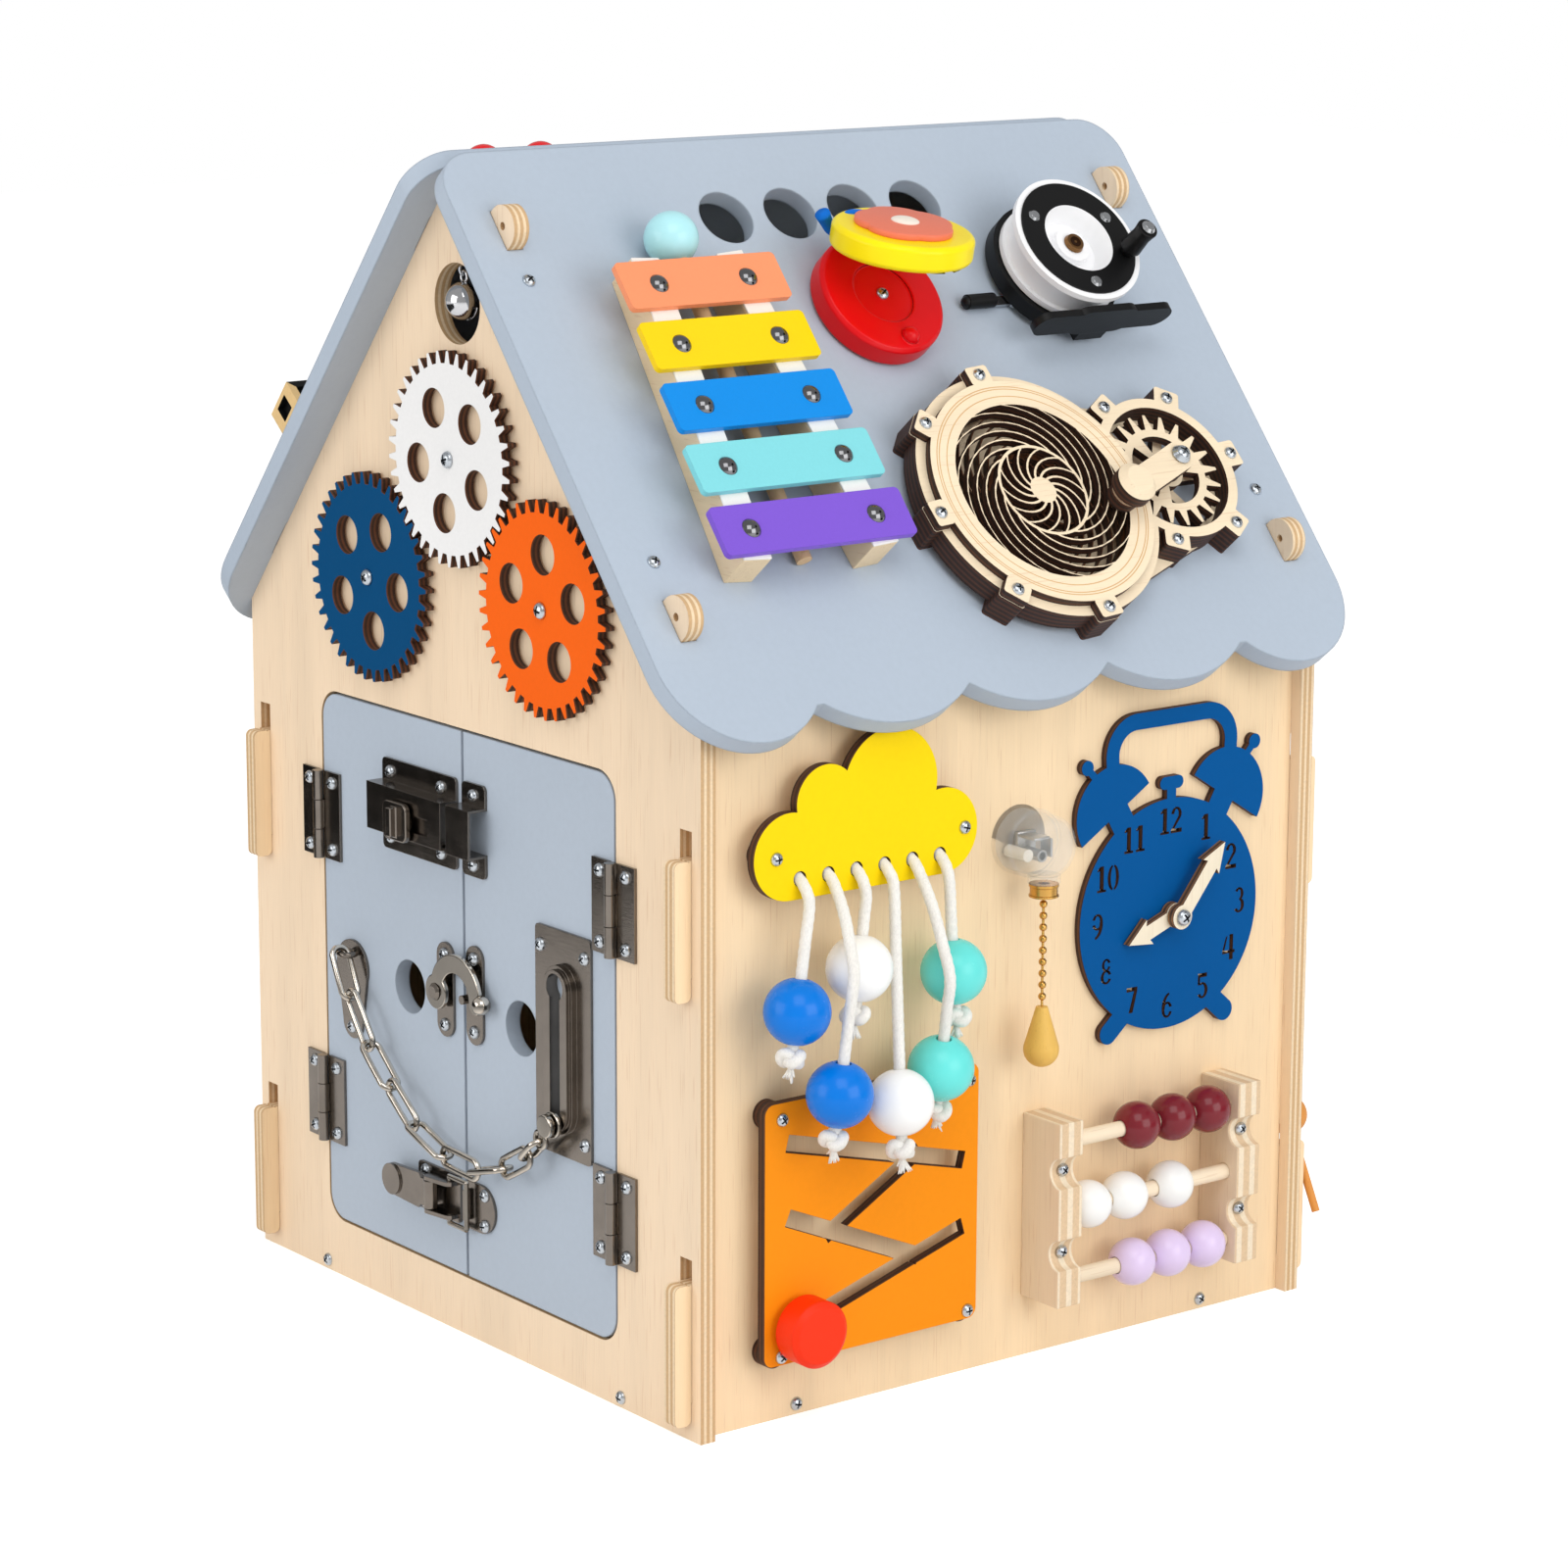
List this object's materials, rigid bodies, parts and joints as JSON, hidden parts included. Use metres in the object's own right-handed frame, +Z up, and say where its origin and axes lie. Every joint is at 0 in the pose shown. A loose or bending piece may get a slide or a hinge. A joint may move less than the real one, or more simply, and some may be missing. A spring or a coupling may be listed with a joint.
{
  "type": "wooden activity house",
  "caption": "Pitched-roof plywood activity house with latched doors, gears, rope beads, maze, clock, abacus, xylophone, castanet, reel and a spiral gearbox.",
  "frame": {"origin": "centre of the underside of the floor panel, on the ground", "axes": "+Z up, -Y out of the front doors, +X out of the clock wall"},
  "size_m": [0.3537, 0.327, 0.4524],
  "materials": {
    "birch": "satin",
    "dark_wood": "satin",
    "roof_paint": "satin",
    "white_paint": "satin",
    "blue_paint": "satin",
    "orange_paint": "satin",
    "aqua_paint": "satin",
    "red_paint": "gloss",
    "yellow_paint": "gloss",
    "burgundy_paint": "gloss",
    "lilac_paint": "gloss",
    "clock_blue": "satin",
    "zinc": "satin",
    "nickel": "satin",
    "chrome": "polished",
    "bar_metal": "gloss",
    "black_plastic": "gloss",
    "white_plastic": "gloss",
    "clear_plastic": "gloss",
    "rope": "matte"
  },
  "bodies": {
    "house": {"front_panel": "birch", "rear_panel": "birch", "left_wall": "birch", "right_wall": "birch", "floor_panel": "birch", "right_roof": "roof_paint", "left_roof": "roof_paint", "house_screws": "zinc", "frame_hinges": "nickel", "xylophone_rails": "birch", "xylophone_bars": "bar_metal", "xylophone_nails": "zinc", "castanet_base": "red_paint", "reel_frame": "black_plastic", "gearbox_case": "dark_wood", "gearbox_cover": "birch", "cloud_board": "white_paint", "maze_board": "birch", "board_standoffs": "dark_wood", "cloud_ropes": "rope", "pull_switch": "clear_plastic", "clock_face": "clock_blue", "abacus_frame": "birch", "far_fittings": "red_paint"},
    "white_gear": {"white_gear": "white_paint"},
    "blue_gear": {"blue_gear": "blue_paint"},
    "orange_gear": {"orange_gear": "orange_paint"},
    "bell": {"bell": "chrome"},
    "mallet": {"mallet": "birch"},
    "castanet_lid": {"castanet_lid": "yellow_paint"},
    "reel_spool": {"reel_spool": "white_plastic"},
    "reel_handle": {"reel_handle": "black_plastic"},
    "reel_lever": {"reel_lever": "zinc"},
    "spiral_wheel": {"spiral_wheel": "birch"},
    "rope_bead_1": {"rope_bead_1": "blue_paint"},
    "rope_bead_2": {"rope_bead_2": "blue_paint"},
    "rope_bead_3": {"rope_bead_3": "white_paint"},
    "rope_bead_4": {"rope_bead_4": "white_paint"},
    "rope_bead_5": {"rope_bead_5": "aqua_paint"},
    "rope_bead_6": {"rope_bead_6": "aqua_paint"},
    "maze_knob": {"maze_knob": "red_paint"},
    "pull_chain": {"pull_chain": "zinc"},
    "hour_hand": {"hour_hand": "birch"},
    "minute_hand": {"minute_hand": "birch"},
    "abacus_row_1": {"abacus_row_1": "burgundy_paint"},
    "abacus_row_2": {"abacus_row_2": "white_paint"},
    "abacus_row_3": {"abacus_row_3": "lilac_paint"},
    "slide_bolt": {"slide_bolt": "nickel"},
    "swing_hook": {"swing_hook": "nickel"},
    "toggle_lever": {"toggle_lever": "nickel"},
    "toggle_bail": {"toggle_bail": "nickel"},
    "crank": {"drive_gear": "birch", "crank_arm": "birch"},
    "left_door": {"left_door": "roof_paint", "left_door_fittings": "nickel", "left_door_screws": "zinc", "door_chain": "nickel"},
    "right_door": {"right_door": "roof_paint", "right_door_fittings": "nickel", "right_door_screws": "zinc"}
  },
  "joints": [
    {"name": "white_gear_spin", "type": "hinge", "parent": "house", "child": "white_gear", "pos_m": [0, -0.1498, 0.3395], "axis": [0, -1, 0], "continuous": true},
    {"name": "blue_gear_spin", "type": "hinge", "parent": "house", "child": "blue_gear", "pos_m": [-0.05633, -0.1498, 0.28789], "axis": [0, -1, 0], "continuous": true},
    {"name": "orange_gear_spin", "type": "hinge", "parent": "house", "child": "orange_gear", "pos_m": [0.05962, -0.1498, 0.29173], "axis": [0, -1, 0], "continuous": true},
    {"name": "bell_swing", "type": "hinge", "parent": "house", "child": "bell", "pos_m": [0, -0.14375, 0.409], "axis": [1, 0, 0], "range_deg": [-40, 40]},
    {"name": "mallet_slide", "type": "slide", "parent": "house", "child": "mallet", "axis": [-0.5962, 0, 0.8028], "range_m": [0, 0.06]},
    {"name": "castanet_clap", "type": "hinge", "parent": "house", "child": "castanet_lid", "pos_m": [0.04732, 0.001, 0.41867], "axis": [0, 1, 0], "range_deg": [-10, 35], "stiffness_Nm_per_rad": 0.2},
    {"name": "reel_spin", "type": "hinge", "parent": "house", "child": "reel_spool", "pos_m": [0.06383, 0.09, 0.40546], "axis": [0.7705, 0, 0.6374], "continuous": true},
    {"name": "reel_handle_spin", "type": "hinge", "parent": "reel_spool", "child": "reel_handle", "pos_m": [0.08355, 0.10975, 0.41143], "axis": [0.7705, 0, 0.6374], "continuous": true},
    {"name": "reel_lever_swing", "type": "hinge", "parent": "house", "child": "reel_lever", "pos_m": [0.06083, 0.0695, 0.39026], "axis": [0.7705, 0, 0.6374], "range_deg": [-15, 15]},
    {"name": "spiral_spin", "type": "hinge", "parent": "house", "child": "spiral_wheel", "pos_m": [0.12352, 0.0262, 0.32389], "axis": [0.7705, 0, 0.6374], "continuous": true},
    {"name": "crank_spin", "type": "hinge", "parent": "house", "child": "crank", "pos_m": [0.12013, 0.09379, 0.32799], "axis": [0.7705, 0, 0.6374], "continuous": true},
    {"name": "rope_bead_1_slide", "type": "slide", "parent": "house", "child": "rope_bead_1", "axis": [0, 0, 1], "range_m": [-0.005, 0.018], "deforming": ["cloud_ropes"]},
    {"name": "rope_bead_2_slide", "type": "slide", "parent": "house", "child": "rope_bead_2", "axis": [0, 0, 1], "range_m": [-0.018, 0.005], "deforming": ["cloud_ropes"]},
    {"name": "rope_bead_3_slide", "type": "slide", "parent": "house", "child": "rope_bead_3", "axis": [0, 0, 1], "range_m": [-0.013, 0.012], "deforming": ["cloud_ropes"]},
    {"name": "rope_bead_4_slide", "type": "slide", "parent": "house", "child": "rope_bead_4", "axis": [0, 0, 1], "range_m": [-0.012, 0.013], "deforming": ["cloud_ropes"]},
    {"name": "rope_bead_5_slide", "type": "slide", "parent": "house", "child": "rope_bead_5", "axis": [0, 0, 1], "range_m": [-0.018, 0.0045], "deforming": ["cloud_ropes"]},
    {"name": "rope_bead_6_slide", "type": "slide", "parent": "house", "child": "rope_bead_6", "axis": [0, 0, 1], "range_m": [-0.0045, 0.018], "deforming": ["cloud_ropes"]},
    {"name": "maze_knob_slide", "type": "slide", "parent": "house", "child": "maze_knob", "axis": [0, 0.958, 0.2869], "range_m": [0, 0.072]},
    {"name": "pull_chain_slide", "type": "slide", "parent": "house", "child": "pull_chain", "axis": [0, 0, -1], "range_m": [0, 0.008], "stiffness_N_per_m": 100},
    {"name": "hour_hand_spin", "type": "hinge", "parent": "house", "child": "hour_hand", "pos_m": [0.1515, 0.0765, 0.1633], "axis": [1, 0, 0], "continuous": true},
    {"name": "minute_hand_spin", "type": "hinge", "parent": "house", "child": "minute_hand", "pos_m": [0.1555, 0.0765, 0.1633], "axis": [1, 0, 0], "continuous": true},
    {"name": "abacus_row_1_slide", "type": "slide", "parent": "house", "child": "abacus_row_1", "axis": [0, 1, 0], "range_m": [-0.0235, 0]},
    {"name": "abacus_row_2_slide", "type": "slide", "parent": "house", "child": "abacus_row_2", "axis": [0, 1, 0], "range_m": [0, 0.0185]},
    {"name": "abacus_row_3_slide", "type": "slide", "parent": "house", "child": "abacus_row_3", "axis": [0, 1, 0], "range_m": [-0.0225, 0]},
    {"name": "left_door_swing", "type": "hinge", "parent": "house", "child": "left_door", "pos_m": [-0.0985, -0.1495, 0.1305], "axis": [0, 0, -1], "range_deg": [0, 120], "deforming": ["door_chain"]},
    {"name": "right_door_swing", "type": "hinge", "parent": "house", "child": "right_door", "pos_m": [0.0985, -0.1495, 0.1305], "axis": [0, 0, 1], "range_deg": [0, 90], "deforming": ["door_chain"]},
    {"name": "slide_bolt_slide", "type": "slide", "parent": "left_door", "child": "slide_bolt", "axis": [1, 0, 0], "range_m": [0, 0.015]},
    {"name": "swing_hook_lift", "type": "hinge", "parent": "left_door", "child": "swing_hook", "pos_m": [-0.013, -0.151, 0.1345], "axis": [0, -1, 0], "range_deg": [0, 90]},
    {"name": "toggle_lever_lift", "type": "hinge", "parent": "left_door", "child": "toggle_lever", "pos_m": [-0.017, -0.1525, 0.0535], "axis": [0, 0, 1], "range_deg": [0, 100]},
    {"name": "toggle_bail_lift", "type": "hinge", "parent": "left_door", "child": "toggle_bail", "pos_m": [-0.0065, -0.1508, 0.0535], "axis": [0, 0, -1], "range_deg": [0, 100]}
  ],
  "couplings": [
    {"joint": "blue_gear_spin", "follows": "white_gear_spin", "ratio": -1},
    {"joint": "orange_gear_spin", "follows": "white_gear_spin", "ratio": -1},
    {"joint": "spiral_spin", "follows": "crank_spin", "ratio": -0.5},
    {"joint": "rope_bead_2_slide", "follows": "rope_bead_1_slide", "ratio": -1},
    {"joint": "rope_bead_4_slide", "follows": "rope_bead_3_slide", "ratio": -1},
    {"joint": "rope_bead_5_slide", "follows": "rope_bead_6_slide", "ratio": -1},
    {"joint": "right_door_swing", "follows": "left_door_swing", "ratio": 0.75}
  ]
}
